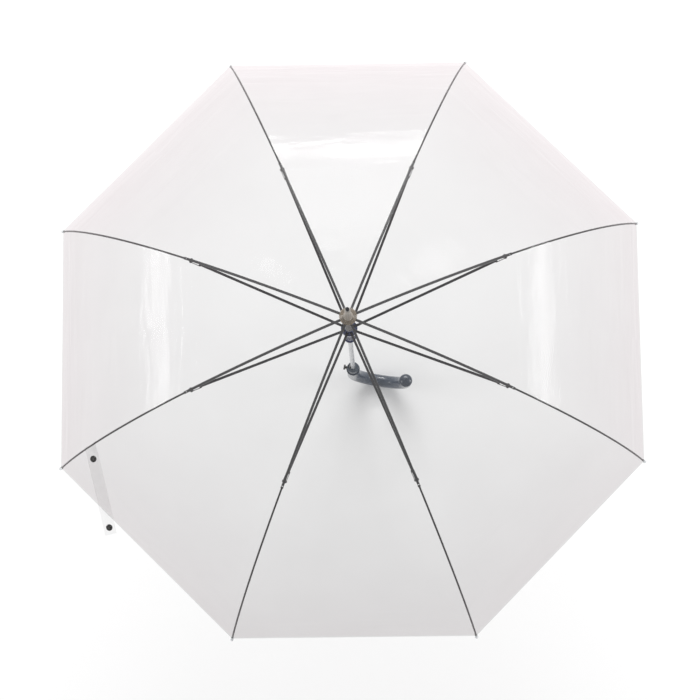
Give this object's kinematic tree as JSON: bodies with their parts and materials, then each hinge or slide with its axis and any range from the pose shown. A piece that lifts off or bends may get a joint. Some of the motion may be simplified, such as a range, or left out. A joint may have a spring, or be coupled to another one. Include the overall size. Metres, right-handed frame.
{
  "type": "stick umbrella",
  "caption": "Open stick umbrella with a clear film canopy on jointed steel and glass-fibre ribs, a sliding runner, a push-button latch and a smoky crook handle.",
  "frame": {"origin": "on the shaft axis at the middle of the straight grip", "axes": "+Z along the shaft toward the ferrule; +X, turned ten degrees, is the side the crook bends to; right-handed"},
  "size_m": [0.9368, 0.9368, 0.8195],
  "materials": {
    "steel_dark": "satin black-grey painted steel channel",
    "fibre_rod": "dark glass-fibre rod",
    "tip_plastic": "clear moulded plastic",
    "clear_film": "clear glossy vinyl film",
    "shaft_steel": "polished steel tube",
    "crown_plastic": "beige-brown moulded plastic",
    "wire_steel": "steel wire",
    "runner_plastic": "smoky dark blue translucent plastic",
    "ferrule_plastic": "pale grey moulded plastic",
    "black_plastic": "black moulded plastic",
    "grip_plastic": "smoky blue-grey translucent plastic",
    "strap_film": "clear vinyl strap",
    "snap_metal": "black lacquered snap fastener"
  },
  "bodies": {
    "stick": {"shaft": "shaft_steel", "ferrule": "ferrule_plastic", "ferrule_cap": "black_plastic", "canopy_cap": "tip_plastic", "crown": "crown_plastic", "crown_wire": "wire_steel", "buffer_spring": "wire_steel", "handle": "grip_plastic", "handle_end": "grip_plastic", "collar": "grip_plastic", "latch_pin": "wire_steel"},
    "runner_body": {"runner": "runner_plastic", "runner_wire": "wire_steel"},
    "button_body": {"button": "black_plastic"},
    "latch_body": {"latch": "wire_steel"},
    "rib_body_1": {"rib_1": "steel_dark", "canopy_panel_1": "clear_film"},
    "outer_body_1": {"rib_outer_1": "fibre_rod", "rib_tip_1": "tip_plastic"},
    "stretcher_body_1": {"stretcher_1": "steel_dark"},
    "rib_body_2": {"rib_2": "steel_dark", "canopy_panel_2": "clear_film"},
    "outer_body_2": {"rib_outer_2": "fibre_rod", "rib_tip_2": "tip_plastic"},
    "stretcher_body_2": {"stretcher_2": "steel_dark"},
    "rib_body_3": {"rib_3": "steel_dark", "canopy_panel_3": "clear_film"},
    "outer_body_3": {"rib_outer_3": "fibre_rod", "rib_tip_3": "tip_plastic"},
    "stretcher_body_3": {"stretcher_3": "steel_dark"},
    "rib_body_4": {"rib_4": "steel_dark", "canopy_panel_4": "clear_film"},
    "outer_body_4": {"rib_outer_4": "fibre_rod", "rib_tip_4": "tip_plastic"},
    "stretcher_body_4": {"stretcher_4": "steel_dark"},
    "rib_body_5": {"rib_5": "steel_dark", "canopy_panel_5": "clear_film"},
    "outer_body_5": {"rib_outer_5": "fibre_rod", "rib_tip_5": "tip_plastic", "strap": "strap_film", "snap_stud": "snap_metal", "snap_socket": "snap_metal"},
    "stretcher_body_5": {"stretcher_5": "steel_dark"},
    "rib_body_6": {"rib_6": "steel_dark", "canopy_panel_6": "clear_film"},
    "outer_body_6": {"rib_outer_6": "fibre_rod", "rib_tip_6": "tip_plastic"},
    "stretcher_body_6": {"stretcher_6": "steel_dark"},
    "rib_body_7": {"rib_7": "steel_dark", "canopy_panel_7": "clear_film"},
    "outer_body_7": {"rib_outer_7": "fibre_rod", "rib_tip_7": "tip_plastic"},
    "stretcher_body_7": {"stretcher_7": "steel_dark"},
    "rib_body_8": {"rib_8": "steel_dark", "canopy_panel_8": "clear_film"},
    "outer_body_8": {"rib_outer_8": "fibre_rod", "rib_tip_8": "tip_plastic"},
    "stretcher_body_8": {"stretcher_8": "steel_dark"}
  },
  "joints": [
    {"name": "fold_1", "type": "hinge", "parent": "stick", "child": "rib_body_1", "pos_m": [0.00831, 0.00344, 0.655], "axis": [-0.3827, 0.9239, 0], "range_deg": [0, 73.17], "stiffness_Nm_per_rad": 1.2, "springref_deg": -74.48, "deforming": ["canopy_panel_1"]},
    {"name": "flex_1", "type": "hinge", "parent": "rib_body_1", "child": "outer_body_1", "pos_m": [0.24206, 0.10026, 0.5945], "axis": [-0.3827, 0.9239, 0], "range_deg": [-28.47, 0]},
    {"name": "swing_1", "type": "hinge", "parent": "rib_body_1", "child": "stretcher_body_1", "pos_m": [0.23312, 0.09656, 0.59511], "axis": [-0.3827, 0.9239, 0], "range_deg": [-146.34, 0]},
    {"name": "fold_2", "type": "hinge", "parent": "stick", "child": "rib_body_2", "pos_m": [0.00344, 0.00831, 0.655], "axis": [-0.9239, 0.3827, 0], "range_deg": [0, 73.17], "deforming": ["canopy_panel_2"]},
    {"name": "flex_2", "type": "hinge", "parent": "rib_body_2", "child": "outer_body_2", "pos_m": [0.10026, 0.24206, 0.5945], "axis": [-0.9239, 0.3827, 0], "range_deg": [-28.47, 0]},
    {"name": "swing_2", "type": "hinge", "parent": "rib_body_2", "child": "stretcher_body_2", "pos_m": [0.09656, 0.23312, 0.59511], "axis": [-0.9239, 0.3827, 0], "range_deg": [-146.34, 0]},
    {"name": "fold_3", "type": "hinge", "parent": "stick", "child": "rib_body_3", "pos_m": [-0.00344, 0.00831, 0.655], "axis": [-0.9239, -0.3827, 0], "range_deg": [0, 73.17], "deforming": ["canopy_panel_3"]},
    {"name": "flex_3", "type": "hinge", "parent": "rib_body_3", "child": "outer_body_3", "pos_m": [-0.10026, 0.24206, 0.5945], "axis": [-0.9239, -0.3827, 0], "range_deg": [-28.47, 0]},
    {"name": "swing_3", "type": "hinge", "parent": "rib_body_3", "child": "stretcher_body_3", "pos_m": [-0.09656, 0.23312, 0.59511], "axis": [-0.9239, -0.3827, 0], "range_deg": [-146.34, 0]},
    {"name": "fold_4", "type": "hinge", "parent": "stick", "child": "rib_body_4", "pos_m": [-0.00831, 0.00344, 0.655], "axis": [-0.3827, -0.9239, 0], "range_deg": [0, 73.17], "deforming": ["canopy_panel_4"]},
    {"name": "flex_4", "type": "hinge", "parent": "rib_body_4", "child": "outer_body_4", "pos_m": [-0.24206, 0.10026, 0.5945], "axis": [-0.3827, -0.9239, 0], "range_deg": [-28.47, 0]},
    {"name": "swing_4", "type": "hinge", "parent": "rib_body_4", "child": "stretcher_body_4", "pos_m": [-0.23312, 0.09656, 0.59511], "axis": [-0.3827, -0.9239, 0], "range_deg": [-146.34, 0]},
    {"name": "fold_5", "type": "hinge", "parent": "stick", "child": "rib_body_5", "pos_m": [-0.00831, -0.00344, 0.655], "axis": [0.3827, -0.9239, 0], "range_deg": [0, 73.17], "deforming": ["canopy_panel_5"]},
    {"name": "flex_5", "type": "hinge", "parent": "rib_body_5", "child": "outer_body_5", "pos_m": [-0.24206, -0.10026, 0.5945], "axis": [0.3827, -0.9239, 0], "range_deg": [-28.47, 0]},
    {"name": "swing_5", "type": "hinge", "parent": "rib_body_5", "child": "stretcher_body_5", "pos_m": [-0.23312, -0.09656, 0.59511], "axis": [0.3827, -0.9239, 0], "range_deg": [-146.34, 0]},
    {"name": "fold_6", "type": "hinge", "parent": "stick", "child": "rib_body_6", "pos_m": [-0.00344, -0.00831, 0.655], "axis": [0.9239, -0.3827, 0], "range_deg": [0, 73.17], "deforming": ["canopy_panel_6"]},
    {"name": "flex_6", "type": "hinge", "parent": "rib_body_6", "child": "outer_body_6", "pos_m": [-0.10026, -0.24206, 0.5945], "axis": [0.9239, -0.3827, 0], "range_deg": [-28.47, 0]},
    {"name": "swing_6", "type": "hinge", "parent": "rib_body_6", "child": "stretcher_body_6", "pos_m": [-0.09656, -0.23312, 0.59511], "axis": [0.9239, -0.3827, 0], "range_deg": [-146.34, 0]},
    {"name": "fold_7", "type": "hinge", "parent": "stick", "child": "rib_body_7", "pos_m": [0.00344, -0.00831, 0.655], "axis": [0.9239, 0.3827, 0], "range_deg": [0, 73.17], "deforming": ["canopy_panel_7"]},
    {"name": "flex_7", "type": "hinge", "parent": "rib_body_7", "child": "outer_body_7", "pos_m": [0.10026, -0.24206, 0.5945], "axis": [0.9239, 0.3827, 0], "range_deg": [-28.47, 0]},
    {"name": "swing_7", "type": "hinge", "parent": "rib_body_7", "child": "stretcher_body_7", "pos_m": [0.09656, -0.23312, 0.59511], "axis": [0.9239, 0.3827, 0], "range_deg": [-146.34, 0]},
    {"name": "fold_8", "type": "hinge", "parent": "stick", "child": "rib_body_8", "pos_m": [0.00831, -0.00344, 0.655], "axis": [0.3827, 0.9239, 0], "range_deg": [0, 73.17], "deforming": ["canopy_panel_8"]},
    {"name": "flex_8", "type": "hinge", "parent": "rib_body_8", "child": "outer_body_8", "pos_m": [0.24206, -0.10026, 0.5945], "axis": [0.3827, 0.9239, 0], "range_deg": [-28.47, 0]},
    {"name": "swing_8", "type": "hinge", "parent": "rib_body_8", "child": "stretcher_body_8", "pos_m": [0.23312, -0.09656, 0.59511], "axis": [0.3827, 0.9239, 0], "range_deg": [-146.34, 0]},
    {"name": "runner_swing", "type": "hinge", "parent": "stretcher_body_1", "child": "runner_body", "pos_m": [0.00831, 0.00344, 0.53522], "axis": [-0.3827, 0.9239, 0], "range_deg": [0, 73.17]},
    {"name": "button_press", "type": "slide", "parent": "stick", "child": "button_body", "axis": [0.9848, -0.1736, 0], "range_m": [0, 0.0015], "stiffness_N_per_m": 400, "springref_m": -0.002},
    {"name": "latch_tip", "type": "hinge", "parent": "stick", "child": "latch_body", "pos_m": [-0.00581, 0.00103, 0.049], "axis": [-0.1736, -0.9848, 0], "range_deg": [0, 7.5]}
  ],
  "couplings": [
    {"joint": "flex_1", "follows": "fold_1", "ratio": -0.38909},
    {"joint": "swing_1", "follows": "fold_1", "ratio": -2},
    {"joint": "fold_2", "follows": "fold_1", "ratio": 1},
    {"joint": "flex_2", "follows": "fold_1", "ratio": -0.38909},
    {"joint": "swing_2", "follows": "fold_1", "ratio": -2},
    {"joint": "fold_3", "follows": "fold_1", "ratio": 1},
    {"joint": "flex_3", "follows": "fold_1", "ratio": -0.38909},
    {"joint": "swing_3", "follows": "fold_1", "ratio": -2},
    {"joint": "fold_4", "follows": "fold_1", "ratio": 1},
    {"joint": "flex_4", "follows": "fold_1", "ratio": -0.38909},
    {"joint": "swing_4", "follows": "fold_1", "ratio": -2},
    {"joint": "fold_5", "follows": "fold_1", "ratio": 1},
    {"joint": "flex_5", "follows": "fold_1", "ratio": -0.38909},
    {"joint": "swing_5", "follows": "fold_1", "ratio": -2},
    {"joint": "fold_6", "follows": "fold_1", "ratio": 1},
    {"joint": "flex_6", "follows": "fold_1", "ratio": -0.38909},
    {"joint": "swing_6", "follows": "fold_1", "ratio": -2},
    {"joint": "fold_7", "follows": "fold_1", "ratio": 1},
    {"joint": "flex_7", "follows": "fold_1", "ratio": -0.38909},
    {"joint": "swing_7", "follows": "fold_1", "ratio": -2},
    {"joint": "fold_8", "follows": "fold_1", "ratio": 1},
    {"joint": "flex_8", "follows": "fold_1", "ratio": -0.38909},
    {"joint": "swing_8", "follows": "fold_1", "ratio": -2},
    {"joint": "runner_swing", "follows": "fold_1", "ratio": 1},
    {"joint": "latch_tip", "follows": "button_press", "rad_per_m": 87.266}
  ]
}
